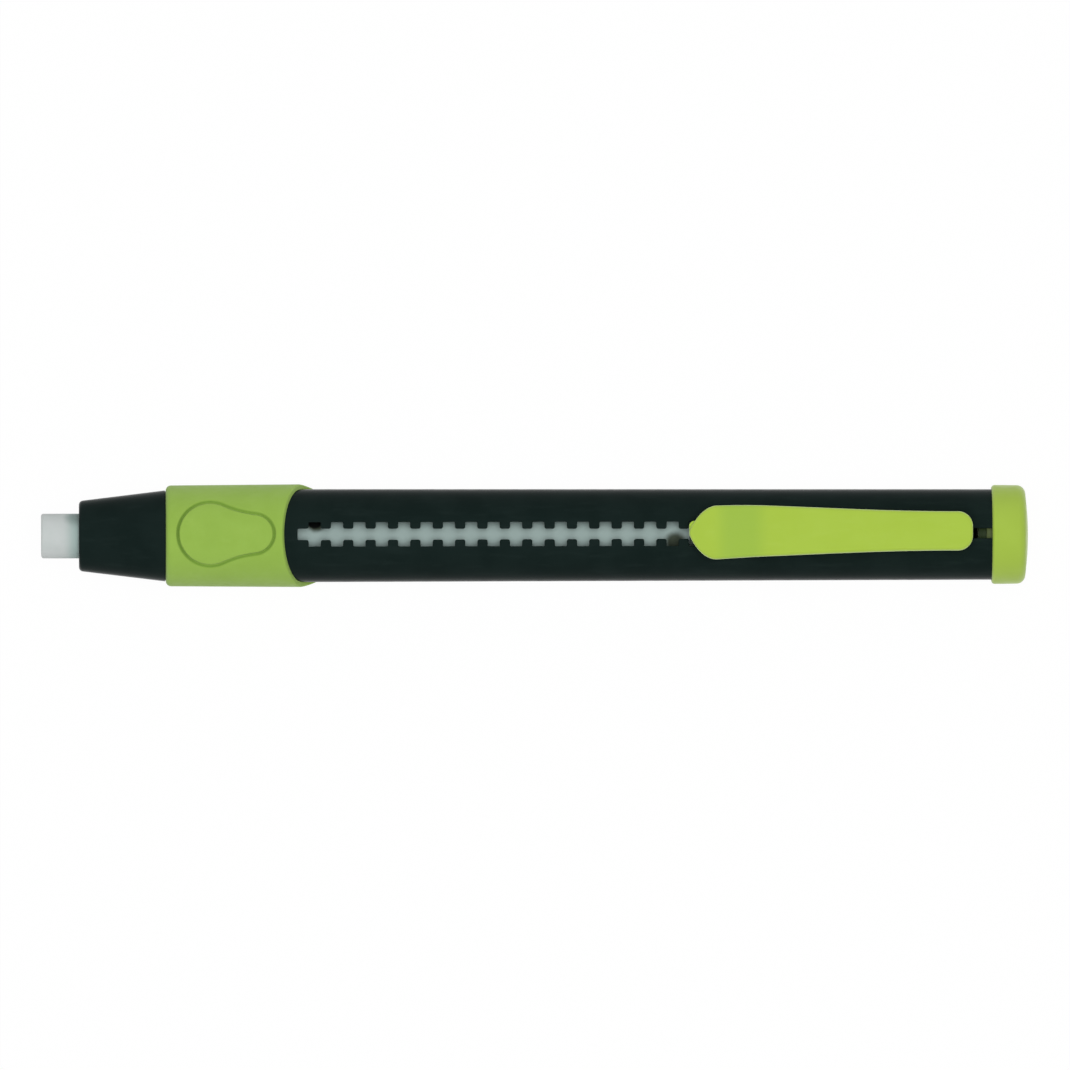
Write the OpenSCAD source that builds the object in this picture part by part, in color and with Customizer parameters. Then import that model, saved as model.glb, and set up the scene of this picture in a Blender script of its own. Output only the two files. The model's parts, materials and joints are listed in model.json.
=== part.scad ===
// Refillable stick eraser with a clip that feeds and locks the eraser.
// The pen lies along X with its eraser tip at -X and its clip on top.
// Places along the pen are measured from the nose's front face, heights from the barrel's axis.

/* [Eraser] */
// Diameter of the eraser stick
eraser_d = 6.6; // [6.2:0.05:6.8]
// How far the eraser stands out of the nose
eraser_out = 5.58; // [2:0.02:9]
// Rounding of the eraser's tip
eraser_round = 0.3; // [0.1:0.05:0.8]

/* [Nose] */
// Length of the nose cone that shows
nose_len = 12.82; // [10:0.02:18]
// Diameter of the cone at its front face
nose_front_d = 10.35; // [9.6:0.05:11.5]
// Diameter of the cone where it meets the grip
nose_rear_d = 13.44; // [12.8:0.02:14]
// Rounding of the cone's front edge
nose_round = 0.65; // [0.2:0.05:1]
// Length of the bore that guides the eraser
guide_len = 6.5; // [4:0.5:9]
// Length of the spigot inside the barrel
spigot_len = 8; // [5:0.5:9]

/* [Grip] */
// Diameter of the sleeve at its front
grip_front_d = 14.89; // [14.5:0.01:15.4]
// Diameter of the sleeve at the rear end of its underside
grip_rear_d = 15.26; // [14.9:0.01:15.6]
// Length of the sleeve along its top
grip_len = 17.14; // [16.9:0.01:24]
// Slant of the sleeve's rear edge in its upper half, in degrees from square
grip_slant = 21; // [0:1:35]
// Slant of the rear edge near the sleeve's underside
grip_low_slant = 46; // [36:1:50]
// Radius of the bend between the two slants
grip_bend_r = 7; // [2:0.5:8]
// Wall of the sleeve at its front
grip_wall = 1.2; // [0.9:0.05:1.3]
// Rounding of the sleeve's front edge
grip_round = 0.75; // [0.2:0.05:0.8]

/* [Thumb pad] */
// Setback of the pad's groove from the sleeve's front edge
pad_setback = 1.9; // [1.2:0.05:2.6]
// Radius of the pad's front lobe
pad_front_r = 4.76; // [4:0.02:5.2]
// Radius of the pad's rear lobe
pad_rear_r = 3.05; // [2:0.05:3.4]
// Distance between the two lobes' centres
pad_step = 6.4; // [5:0.05:7]
// Radius of the hollow that joins the lobes
pad_waist_r = 16; // [10:0.5:40]
// Width of the groove
groove_w = 0.44; // [0.3:0.02:0.7]
// Depth of the groove
groove_depth = 0.35; // [0.2:0.05:0.6]

/* [Barrel] */
// Diameter of the barrel behind the grip
barrel_front_d = 13.74; // [13.4:0.02:14.2]
// Diameter of the barrel at its rear end
barrel_rear_d = 13.36; // [13:0.02:13.6]
// Bore of the barrel
bore_d = 10.9; // [10.6:0.05:11.1]

/* [Slot] */
// Width of the slot
slot_w = 1.57; // [1.3:0.01:1.9]
// Setback of the slot from the grip's top edge
slot_setback = 2.29; // [1.2:0.01:6]
// Setback of the first notch from the slot's front end
notch_setback = 1.64; // [0.8:0.02:4]
// Distance from one notch to the next
notch_pitch = 3.3; // [2.6:0.05:4]
// Number of notches
notch_count = 18; // [10:1:22]
// Length of a notch
notch_len = 1.78; // [1.4:0.02:2]
// Width across a pair of notches
notch_across = 3.6; // [3.2:0.05:4.2]
// Rounding of the teeth between notches
tooth_round = 0.3; // [0.1:0.05:0.35]

/* [Clip] */
// Length of the clip
clip_len = 41.78; // [38:0.02:50]
// Widest part of the clip, near its tip
clip_wide = 8; // [7:0.05:9]
// Width of the clip at its rear end
clip_narrow = 5.75; // [5:0.05:6.5]
// Length of the rounded tip
clip_tip_len = 4.1; // [3.6:0.1:6]
// Radius of the clip's rear corners
clip_corner_r = 2.14; // [1:0.02:2.4]
// Thickness of the clip at its front
clip_front_t = 1.5; // [1.2:0.05:2]
// Thickness of the clip at its rear
clip_rear_t = 1.9; // [1.4:0.05:2.4]
// How far the clip's arm dips towards its tip
clip_dip = 1.3; // [0.5:0.05:1.8]
// How far the tip curls up again
clip_curl = 0.8; // [0.2:0.05:1.2]
// Setback of the flat rear part from the tip
clip_flat_from = 24; // [18:0.5:30]
// Length of the foot that goes through the slot
foot_len = 5; // [3.5:0.1:6]
// Radius of the clip's pivot pins
pivot_r = 0.9; // [0.7:0.05:1]
// Distance from the pivot to the clip's rear end
pivot_setback = 5.5; // [5:0.1:7]

/* [Latch] */
// Thickness of the tongue
tongue_t = 0.55; // [0.4:0.05:0.6]
// Width of the tongue
tongue_w = 1.2; // [1:0.05:1.25]
// Depth of the locking bar below the barrel's top
bar_depth = 0.5; // [0.3:0.05:0.8]
// Length of the tongue's fixed root
root_len = 5.5; // [4:0.5:7]

/* [Holder] */
// Length of eraser that the holder grips
grasp_len = 11.5; // [8:0.5:13]
// Setback of the holder's front from the clip's tip
holder_setback = 2.9; // [2.4:0.05:4]
// How deep the gripping rings press into the eraser
barb_bite = 0.12; // [0:0.02:0.2]

/* [End cap] */
// Diameter of the cap at its rim
cap_rim_d = 14.65; // [14.3:0.01:15.4]
// Diameter of the cap near its end
cap_end_d = 14.53; // [14.2:0.01:15]
// Length of the cap that shows
cap_len = 5.4; // [4.5:0.05:9]
// Thickness of the cap's end
cap_wall = 1.6; // [1.3:0.05:2.4]
// Rounding of the cap's rim
cap_rim_round = 0.5; // [0.2:0.05:0.5]
// Rounding of the cap's end
cap_round = 1.3; // [0.5:0.05:1.4]
// Crown of the cap's end face
cap_crown = 0.4; // [0:0.01:0.6]
// Gap between the clip's rear end and the cap's rim
cap_gap = 3; // [2.4:0.05:6]
// How far the cap's plug reaches in front of its rim
plug_reach = 2.05; // [1:0.05:2.1]
// Length of the plug's stepped nose
plug_step = 1.2; // [0.5:0.05:1.5]

/* [Fits] */
// Clearance of round parts that slide or turn
run_gap = 0.05; // [0.02:0.01:0.09]
// Clearance of the holder in the bore
slide_gap = 0.1; // [0.05:0.01:0.15]
// Clearance of the foot and the locking bar at each side
side_gap = 0.14; // [0.08:0.01:0.2]

/* [Hidden] */
$fn = 96;
far = 200;
arc_steps = 6;
tooth_arc_steps = 3;

// Gap between the tongue or the pressed clip and the barrel's wall
wall_gap = 0.3;
// Depth of the clip's pivot below the bore's top
pivot_depth = 2.2;

// Radii of the turned parts
bore_r = bore_d / 2;
core_r = grip_front_d / 2 - grip_wall;
eraser_r = eraser_d / 2;
guide_r = eraser_r + run_gap;

// Places along the pen
grip_top_end = nose_len + grip_len;
grip_mid_x = grip_top_end + grip_rear_d / 2 * tan(grip_slant);
grip_bend_x = grip_mid_x + grip_bend_r * cos(grip_slant);
grip_bend_z = grip_bend_r * sin(grip_slant);
grip_low_end = grip_bend_x - grip_bend_r * cos(grip_low_slant)
    + (grip_rear_d / 2 + grip_bend_z - grip_bend_r * sin(grip_low_slant)) * tan(grip_low_slant);
slot_start = grip_top_end + slot_setback;
notch_first = slot_start + notch_setback;
notch_last = notch_first + (notch_count - 1) * notch_pitch;
clip_tip = notch_last;
clip_end = clip_tip + clip_len;
cap_rim = clip_end + cap_gap;
cap_end = cap_rim + cap_len;
barrel_end = cap_end - cap_wall - run_gap;
pen_mid = (cap_end - eraser_out) / 2;
pivot_x = clip_end - pivot_setback;

// The grip widens evenly towards its rear, and the barrel tapers evenly behind it
function grip_r(x) =
    grip_front_d / 2 + (grip_rear_d - grip_front_d) / 2 * (x - nose_len) / (grip_low_end - nose_len);
function barrel_r(x) =
    barrel_front_d / 2
    + (barrel_rear_d - barrel_front_d) / 2 * (x - grip_top_end) / (barrel_end - grip_top_end);

// The locking bar: its height, and how far it drops to pass under the barrel's wall
bar_len = notch_len - 2 * side_gap;
bar_w = notch_across - 2 * side_gap;
bar_x = clip_tip + side_gap;
bar_top = barrel_r(bar_x) - bar_depth;
wall_above_bar = sqrt(bore_r * bore_r - bar_w * bar_w / 4);
press_travel = bar_top - wall_above_bar + 2 * run_gap;
tongue_top = bore_r - wall_gap;
tongue_low = tongue_top - tongue_t;
neck_w = slot_w - 2 * side_gap;
neck_x = bar_x + 0.25;

// The tongue's fixed root and its peg
root_start = clip_tip + holder_setback + grasp_len + 2;
root_end = root_start + root_len;
peg_r = 0.8;
peg_low = tongue_low - 3;

// Heights of the clip: the boss under its tip clears the barrel when pressed
boss_low = barrel_r(bar_x) + press_travel + wall_gap;
boss_h = 0.6;
boss_len = notch_len + 0.6;
boss_w = notch_across - 0.3;
curl_at_boss = clip_curl * pow(1 - boss_len / 2 / clip_tip_len, 2);
clip_top = boss_low + boss_h + clip_front_t + clip_dip - curl_at_boss;
pivot_z = bore_r - pivot_depth;

// The holder inside the barrel
holder_r = bore_r - slide_gap;
holder_front = clip_tip + holder_setback;
socket_end = holder_front + grasp_len;
holder_end = clip_end - 0.3;
waist_r = holder_r - 0.45;
waist_start = root_end - 2.5;
waist_end = pivot_x - 5;

// The clip's pivot pins end inside the holder
pin_reach = sqrt(holder_r * holder_r - pow(pivot_z + pivot_r, 2)) - 0.35;

// Stands the pen on the ground under the middle of its length
module place() {
    translate([-pen_mid, 0, grip_rear_d / 2]) children();
}

// Turns a profile of [radius, place along the pen] about the barrel's axis
module turned(profile) {
    rotate([0, 90, 0]) rotate_extrude() polygon(profile);
}

// A round bar along the barrel's axis
module round_bar(r, from, to) {
    translate([from, 0, 0]) rotate([0, 90, 0]) cylinder(r = r, h = to - from);
}

// A round bar across the pen at the clip's pivot
module cross_bar(r, reach) {
    translate([pivot_x, reach, pivot_z]) rotate([90, 0, 0]) cylinder(r = r, h = 2 * reach);
}

// A box between two places along the pen, centred across it
module bar_box(from, to, width, low, high) {
    translate([from, -width / 2, low]) cube([to - from, width, high - low]);
}

// Points of an arc about [cx, cy], from angle a0 to angle a1
function arc(cx, cy, r, a0, a1, steps = arc_steps) =
    [for (i = [0 : steps]) let (a = a0 + (a1 - a0) * i / steps) [cx + r * cos(a), cy + r * sin(a)]];

// A whole outline from the half of it on one side of the pen's centre line
function both_sides(half) =
    concat(half, [for (i = [len(half) - 1 : -1 : 0]) if (half[i][1] != 0) [half[i][0], -half[i][1]]]);

// The space behind the grip's rear edge, which is slanted and bends further back below mid-height
module behind_grip() {
    past = 1;
    top_z = grip_rear_d / 2 + past;
    rotate([90, 0, 0]) translate([0, 0, -far / 2]) linear_extrude(height = far)
        polygon(concat(
            [[far, top_z], [grip_top_end - past * tan(grip_slant), top_z]],
            arc(grip_bend_x, grip_bend_z, grip_bend_r, 180 + grip_slant, 180 + grip_low_slant),
            [[grip_low_end + past * tan(grip_low_slant), -top_z], [far, -top_z]]));
}

module eraser_stick() {
    rear = socket_end - run_gap;
    color("whitesmoke") place()
        turned(concat(
            [[0, -eraser_out]],
            arc(eraser_r - eraser_round, eraser_round - eraser_out, eraser_round, -90, 0),
            [[eraser_r, rear], [0, rear]]));
}

module nose_cone() {
    lip = 0.18;
    lip_depth = 0.3;
    relief_r = guide_r + 0.7;
    mouth = 0.25;
    tilt = atan((nose_rear_d - nose_front_d) / 2 / nose_len);
    round_r = nose_front_d / 2 - nose_round / cos(tilt) + nose_round * tan(tilt);
    color("#1c2524") place()
        turned(concat(
            [[guide_r + mouth, 0]],
            arc(round_r, nose_round, nose_round, -90, -tilt),
            [[nose_rear_d / 2, nose_len - lip],
             [nose_rear_d / 2 - lip_depth, nose_len - lip],
             [nose_rear_d / 2 - lip_depth, nose_len],
             [bore_r - run_gap, nose_len],
             [bore_r - run_gap, nose_len + spigot_len],
             [relief_r, nose_len + spigot_len],
             [relief_r, guide_len + mouth],
             [guide_r, guide_len],
             [guide_r, mouth]]));
}

// The thumb pad seen from above: two round lobes joined by a hollow at each side.
// grow widens it all round.
module pad_shape(grow) {
    lobe_r = pad_front_r + grow;
    tail_r = pad_rear_r + grow;
    hollow_r = pad_waist_r - grow;
    reach_front = lobe_r + hollow_r;
    reach_rear = tail_r + hollow_r;
    hollow_x = (reach_front * reach_front - reach_rear * reach_rear + pad_step * pad_step) / (2 * pad_step);
    hollow_y = sqrt(reach_front * reach_front - hollow_x * hollow_x);
    translate([nose_len + pad_setback + pad_front_r, 0, 0]) union() {
        cylinder(r = lobe_r, h = far);
        translate([pad_step, 0, 0]) cylinder(r = tail_r, h = far);
        difference() {
            linear_extrude(height = far)
                polygon([[0, 0], [hollow_x, hollow_y], [pad_step, 0], [hollow_x, -hollow_y]]);
            for (side = [-1, 1])
                translate([hollow_x, side * hollow_y, -1]) cylinder(r = hollow_r, h = far + 2);
        }
    }
}

module grip_sleeve() {
    front_r = grip_front_d / 2;
    beyond = grip_low_end + 1;
    groove_floor = front_r - groove_depth;
    color("#8fb44f") place()
        difference() {
            turned(concat(
                [[core_r, nose_len]],
                arc(front_r - grip_round, nose_len + grip_round, grip_round, -90, 0),
                [[grip_r(beyond), beyond], [core_r, beyond]]));
            behind_grip();
            difference() {
                pad_shape(groove_w / 2);
                pad_shape(-groove_w / 2);
                round_bar(groove_floor, 0, beyond);
            }
        }
}

// Half the slot's outline: the plain edge, broken by notches with rounded teeth between them
function notch_points(from) =
    let (side = slot_w / 2, r = tooth_round, to = from + notch_len)
    concat(
        arc(from - r, side + r, r, -90, 0, tooth_arc_steps),
        [[from, notch_across / 2], [to, notch_across / 2]],
        arc(to + r, side + r, r, 180, 270, tooth_arc_steps));
slot_half = concat(
    [[slot_start, slot_w / 2]],
    [for (n = [0 : notch_count - 1]) each notch_points(notch_first + n * notch_pitch)],
    [[barrel_end + 1, slot_w / 2]]);

module barrel() {
    chamfer = 0.3;
    color("#1e2726") place()
        difference() {
            union() {
                intersection() {
                    turned([[0, nose_len],
                            [barrel_r(nose_len), nose_len],
                            [barrel_r(barrel_end), barrel_end],
                            [0, barrel_end]]);
                    behind_grip();
                }
                round_bar(core_r, nose_len, grip_low_end + 1);
            }
            turned([[0, nose_len - 1],
                    [bore_r, nose_len - 1],
                    [bore_r, barrel_end - chamfer],
                    [bore_r + 2 * chamfer, barrel_end + chamfer],
                    [0, barrel_end + chamfer]]);
            linear_extrude(height = far) polygon(both_sides(slot_half));
        }
}

module eraser_holder() {
    channel_w = tongue_w + 4 * side_gap;
    barb_count = 3;
    barb_w = 0.5;
    barb_step = (grasp_len - 3) / barb_count;
    foot_gap = 0.6;
    pocket_low = pivot_z - pivot_r - 0.4;
    bearing_reach = pin_reach + side_gap;
    color("#2b3433") place()
        difference() {
            union() {
                difference() {
                    turned([[0, holder_front],
                            [holder_r, holder_front],
                            [holder_r, waist_start],
                            [waist_r, waist_start + 0.5],
                            [waist_r, waist_end - 0.5],
                            [holder_r, waist_end],
                            [holder_r, holder_end],
                            [0, holder_end]]);
                    round_bar(eraser_r + run_gap, holder_front - 1, socket_end);
                }
                // rings that bite into the eraser
                for (i = [1 : barb_count])
                    translate([holder_front + i * barb_step, 0, 0])
                        turned([[eraser_r - barb_bite, 0],
                                [holder_r - 0.5, -barb_w],
                                [holder_r - 0.5, 0]]);
            }
            // channel for the tongue, open above the eraser
            bar_box(holder_front - 1, root_start - run_gap, channel_w, eraser_r * 0.8, far);
            bar_box(root_start - 1, root_end + run_gap, tongue_w + 2 * run_gap, tongue_low, far);
            // hole for the tongue's peg
            translate([(root_start + root_end) / 2, 0, peg_low - side_gap])
                cylinder(r = peg_r + run_gap, h = far);
            // pocket for the clip's foot
            bar_box(pivot_x - foot_len / 2 - foot_gap, pivot_x + foot_len / 2 + foot_gap,
                    slot_w + side_gap, pocket_low, far);
            // bearings for the clip's pins, with a narrower way in that they snap through
            cross_bar(pivot_r + run_gap, bearing_reach);
            bar_box(pivot_x - 0.8 * pivot_r, pivot_x + 0.8 * pivot_r, 2 * bearing_reach, pivot_z, far);
        }
}

module latch_tongue() {
    color("#2b3433") place()
        union() {
            // springy strip and its fixed root
            bar_box(bar_x, root_end, tongue_w, tongue_low, tongue_top);
            translate([(root_start + root_end) / 2, 0, peg_low])
                cylinder(r = peg_r, h = tongue_low - peg_low + tongue_t / 2);
            // bar that locks in a notch
            bar_box(bar_x, bar_x + bar_len, bar_w, tongue_low, bar_top);
            // neck through the slot, up into the clip's tip
            bar_box(neck_x, bar_x + bar_len, neck_w, tongue_top, boss_low + boss_h);
        }
}

// Half the clip's width at a distance from its tip: a rounded tip, then an even narrowing
tip_bluntness = 0.75;
function clip_tip_share(t) = pow(1 - pow(1 - min(t / clip_tip_len, 1), 2), tip_bluntness);
function clip_side_half(t) =
    let (along = min(t / (clip_len - clip_corner_r), 1))
    clip_narrow / 2 + (clip_wide - clip_narrow) / 2 * (1 + cos(180 * along)) / 2;
function clip_half(t) = clip_tip_share(t) * clip_side_half(t);

// Heights of the clip's top and underside at a distance from its tip
function clip_top_z(t) =
    let (down = min(max((clip_flat_from - t) / (clip_flat_from - clip_tip_len), 0), 1),
         up = max(1 - t / clip_tip_len, 0))
    clip_top - clip_dip * (1 - cos(180 * down)) / 2 + clip_curl * up * up;
function clip_low_z(t) =
    clip_top_z(t) - clip_front_t - (clip_rear_t - clip_front_t) * min(t / clip_flat_from, 1);

// Distances from the tip at which the clip's outlines are worked out
tip_steps = 10;
arm_steps = 16;
clip_straight = clip_len - clip_corner_r - clip_tip_len;
clip_stations = concat(
    [for (i = [0 : tip_steps - 1]) clip_tip_len * pow(i / tip_steps, 2)],
    [for (i = [0 : arm_steps]) clip_tip_len + clip_straight * i / arm_steps]);

module clip_plan() {
    polygon(both_sides(concat(
        [for (t = clip_stations) [t, clip_half(t)]],
        arc(clip_len - clip_corner_r, clip_narrow / 2 - clip_corner_r, clip_corner_r, 75, 0))));
}

module clip_profile() {
    polygon(concat(
        [for (t = clip_stations) [t, clip_top_z(t)]],
        [[clip_len + 1, clip_top_z(clip_len)], [clip_len + 1, clip_low_z(clip_len)]],
        [for (i = [len(clip_stations) - 1 : -1 : 0]) [clip_stations[i], clip_low_z(clip_stations[i])]]));
}

module clip() {
    foot_low = barrel_r(pivot_x) + 1.5 * wall_gap;
    foot_front = pivot_x - foot_len / 2;
    foot_rear = pivot_x + foot_len / 2;
    pedestal_w = 3.6;
    boss_top = boss_low + boss_h;
    boss_round = 0.5;
    color("#aac64f") place()
        difference() {
            union() {
                translate([clip_tip, 0, 0]) intersection() {
                    linear_extrude(height = far) clip_plan();
                    rotate([90, 0, 0]) translate([0, 0, -far / 2])
                        linear_extrude(height = far) clip_profile();
                }
                // boss over the latch, with rounded front corners
                translate([clip_tip, 0, boss_low]) linear_extrude(height = boss_h + clip_front_t / 4)
                    polygon(both_sides(concat(
                        arc(boss_round, boss_w / 2 - boss_round, boss_round, 180, 90),
                        [[boss_len, boss_w / 2]])));
                // pedestal, foot through the slot and pivot pins
                bar_box(foot_front - 1, foot_rear + 1, pedestal_w, foot_low, clip_top - clip_rear_t / 4);
                bar_box(foot_front, foot_rear, neck_w, pivot_z, foot_low + 1);
                cross_bar(pivot_r, pin_reach);
            }
            // pocket for the latch's neck
            bar_box(neck_x - side_gap / 2, bar_x + bar_len + side_gap / 2, neck_w + side_gap,
                    boss_low - 1, boss_top + run_gap);
        }
}

module end_cap() {
    rim_r = cap_rim_d / 2;
    end_r = cap_end_d / 2;
    skirt_r = barrel_r(cap_rim) + run_gap + 0.03;
    rim_round = min(cap_rim_round, rim_r - skirt_r - 0.01);
    plug_r = bore_r - run_gap;
    plug_wall = 1.3;
    step_in = 0.7;
    plug_front = cap_rim - plug_reach;
    floor_x = cap_end - cap_wall;
    crown_r = end_r - cap_round;
    color("#a6c14d") place()
        turned(concat(
            [[plug_r - plug_wall - step_in, plug_front],
             [plug_r - step_in, plug_front],
             [plug_r - step_in, plug_front + plug_step],
             [plug_r, plug_front + plug_step],
             [plug_r, floor_x],
             [skirt_r, floor_x],
             [skirt_r, cap_rim]],
            arc(rim_r - rim_round, cap_rim + rim_round, rim_round, -90, 0),
            arc(end_r - cap_round, cap_end - cap_crown - cap_round, cap_round, 0, 80),
            [for (i = [4 : -1 : 0]) let (r = crown_r * i / 5)
                [r, cap_end - cap_crown * pow(r / crown_r, 2)]],
            [[0, floor_x], [plug_r - plug_wall - step_in, floor_x]]));
}

eraser_stick();
nose_cone();
grip_sleeve();
barrel();
eraser_holder();
latch_tongue();
clip();
end_cap();
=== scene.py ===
"""Looks of a refillable stick eraser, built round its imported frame.

Sizes are in millimetres, along the pen from the nose's front face (x), across it (y) and up from
the barrel's axis (z). place() turns them into metres in the frame's own coordinates.
"""

import json
import math

import bmesh
import bpy
import numpy as np
from mathutils import Matrix, Vector
from mathutils.geometry import delaunay_2d_cdt


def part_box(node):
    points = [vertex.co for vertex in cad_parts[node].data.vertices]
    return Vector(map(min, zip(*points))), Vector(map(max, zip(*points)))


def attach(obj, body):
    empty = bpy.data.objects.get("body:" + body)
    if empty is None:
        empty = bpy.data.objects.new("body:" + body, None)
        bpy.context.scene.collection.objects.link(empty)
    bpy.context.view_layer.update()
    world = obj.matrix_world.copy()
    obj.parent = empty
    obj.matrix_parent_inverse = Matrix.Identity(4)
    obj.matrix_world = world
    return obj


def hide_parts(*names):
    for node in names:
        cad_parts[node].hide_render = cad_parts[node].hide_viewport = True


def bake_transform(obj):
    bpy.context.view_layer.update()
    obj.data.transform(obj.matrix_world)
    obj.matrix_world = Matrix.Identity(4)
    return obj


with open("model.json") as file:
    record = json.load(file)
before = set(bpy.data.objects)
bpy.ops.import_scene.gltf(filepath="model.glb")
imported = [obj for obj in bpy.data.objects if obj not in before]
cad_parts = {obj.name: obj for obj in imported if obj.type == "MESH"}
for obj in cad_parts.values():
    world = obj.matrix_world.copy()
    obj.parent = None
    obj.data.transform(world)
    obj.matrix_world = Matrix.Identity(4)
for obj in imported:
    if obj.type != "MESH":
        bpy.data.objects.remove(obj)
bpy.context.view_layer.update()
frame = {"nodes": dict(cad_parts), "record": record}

# Where the frame puts the pen
MM = 0.001
BODY_OF = {n: body for body, names in frame["record"]["behaviour"]["bodies"].items() for n in names}
NOSE_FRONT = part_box("nose_cone")[0].x
AXIS_Z = (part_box("eraser_stick")[0].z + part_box("eraser_stick")[1].z) / 2


def on_pen(point):
    """A point of the frame in pen millimetres, from the nose's front and the axis."""
    return (point - Vector((NOSE_FRONT, 0, AXIS_Z))) / MM


def pen_box(node):
    """Lowest and highest corner of a node, in pen millimetres."""
    return [on_pen(corner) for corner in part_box(node)]


def place(points):
    """Points in pen millimetres as points of the frame in metres."""
    return np.asarray(points, float) * MM + np.array([NOSE_FRONT, 0, AXIS_Z])


# Sizes read off the frame
ERASER_TIP = pen_box("eraser_stick")[0].x
ERASER_REAR = pen_box("eraser_stick")[1].x
ERASER_R = pen_box("eraser_stick")[1].z
NOSE_LEN = pen_box("grip_sleeve")[0].x
SPIGOT_END = pen_box("nose_cone")[1].x
GRIP_LOW_END = pen_box("grip_sleeve")[1].x
GRIP_REAR_R = -pen_box("grip_sleeve")[0].z
BARREL_END = pen_box("barrel")[1].x
CLIP_TIP = pen_box("clip")[0].x
CLIP_END = pen_box("clip")[1].x
CAP_RIM_R = pen_box("end_cap")[1].z
CAP_PLUG_FRONT = pen_box("end_cap")[0].x
CAP_END = pen_box("end_cap")[1].x
TONGUE_FRONT = pen_box("latch_tongue")[0].x
TONGUE_REAR = pen_box("latch_tongue")[1].x
TONGUE_TIP_Z = pen_box("latch_tongue")[1].z

# Fits
RUN_GAP = 0.05
SIDE_GAP = 0.14

# Eraser and nose cone
ERASER_ROUND = 0.32
NOSE_FRONT_R = 5.175
NOSE_REAR_R = 6.72
NOSE_ROUND = 0.65
GUIDE_LEN = 6.5
BORE_R = 5.45

# Grip sleeve and its thumb pad
GRIP_FRONT_R = 7.445
GRIP_WALL = 1.2
GRIP_SLANT = math.radians(21)
GRIP_LOW_SLANT = math.radians(46)
GRIP_BEND_R = 7
GRIP_TOP_END = 29.96
GRIP_ROUND = 0.78
GRIP_RIM_ROUND = 0.34
PAD_FRONT_X = 19.35
PAD_FRONT_R = 4.76
PAD_REAR_R = 3.05
PAD_STEP = 6.4
PAD_ASIDE = 0.09
PAD_WAIST_R = 16
GROOVE_W = 0.64
GROOVE_DEPTH = 0.4
PAD_DISH = 0.22
PAD_DISH_FROM = 0.2
PAD_DISH_SLOPE = 3.2
PAD_SIDE = 47

# Barrel and its slot
BARREL_FRONT_R = 6.87
BARREL_REAR_R = 6.68
SLOT_START = 32.25
SLOT_W = 1.57
SLOT_FLARE = (1.7, 1.49)
NOTCH_PITCH = 3.3
NOTCH_COUNT = 18
NOTCH_LEN = 1.78
NOTCH_ACROSS = 3.6
NOTCH_FIRST = CLIP_TIP - (NOTCH_COUNT - 1) * NOTCH_PITCH
TOOTH_ROUND = 0.3
NOTCH_ROUND = 0.12
SLOT_EDGE_ROUND = 0.12
SLOT_FRONT_ROUND = 0.22
STEP_GAP = 0.02
STRIP_ANGLE = math.radians(22)
STRIP_START = SLOT_START - 0.9
STRIP_FILL = 0.42

# Clip
CLIP_LEN = CLIP_END - CLIP_TIP
CLIP_WIDE = 8
CLIP_NARROW = 5.75
CLIP_TIP_LEN = 4.1
CLIP_BLUNTNESS = 0.9
CLIP_CORNER_R = 2.14
CLIP_FRONT_T = 1.5
CLIP_REAR_T = 1.9
CLIP_TOP = 11.235
CLIP_DIP = 1.3
CLIP_CURL = 0.8
CLIP_FLAT_FROM = 24
CLIP_CROWN = 0.22
CLIP_SWAY = 0.33
SWAY_LEN = 11
TIP_EASE = 0.5
CLIP_TOP_ROUND = 0.48
CLIP_LOW_ROUND = 0.25
CLIP_FILL = 0.55
BOSS_LOW = 8.238
BOSS_H = 0.6
BOSS_LEN = 2.38
BOSS_REACH = (0.5, 1.8)
PIVOT_X = CLIP_END - 5.5
PIVOT_Z = 3.25
PIVOT_R = 0.9
PIN_REACH = 3.026
FOOT_LEN = 5
PEDESTAL_W = 3.6
PEDESTAL_LEDGE = 1
PEDESTAL_GAP = 0.45
POCKET_GAP = 0.07

# Latch tongue
TONGUE_W = 1.2
TONGUE_TOP = 5.15
TONGUE_T = 0.55
TONGUE_ROUND = 0.14
BAR_LEN = NOTCH_LEN - 2 * SIDE_GAP
BAR_REAR = TONGUE_FRONT + BAR_LEN
BAR_W = NOTCH_ACROSS - 2 * SIDE_GAP
BAR_TOP = 6.265
NECK_W = SLOT_W - 2 * SIDE_GAP
NECK_X = TONGUE_FRONT + 0.25
ROOT_LEN = 5.5
PEG_R = 0.8
PEG_LOW = 1.6

# End cap
CAP_RIM = 134.77
CAP_END_R = 7.265
CAP_RIM_ROUND = 0.5
CAP_ROUND = 1.3
CAP_CROWN = 0.4
CAP_SHOULDER = 0.52
CAP_WALL = 1.6
CAP_SKIRT_R = 6.78
PLUG_STEP = 1.2
PLUG_STEP_IN = 0.7
PLUG_WALL = 1.3

# Light and camera, in metres, watts and degrees
FLOOR_HALF = 3
FLOOR_GLOW = 0.975
FLOOR_COLOUR = (0.95, 0.95, 0.95, 1)
FILL_COLOUR = (1, 1, 1, 1)
FILL_STRENGTH = 0.32
KEY_WATTS = 10
KEY_SPOT = (0.03, -0.03, 1.2)
KEY_SIZE = 0.6
CAMERA_AWAY = 5
CAMERA_LEAN = (0.83, 1.7)
CAMERA_ROLL = -0.1
CAMERA_TARGET = (0.00007, 0.00004, 0.0075)
FRAME_WIDTH = 0.15804


# Outlines and meshes

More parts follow.
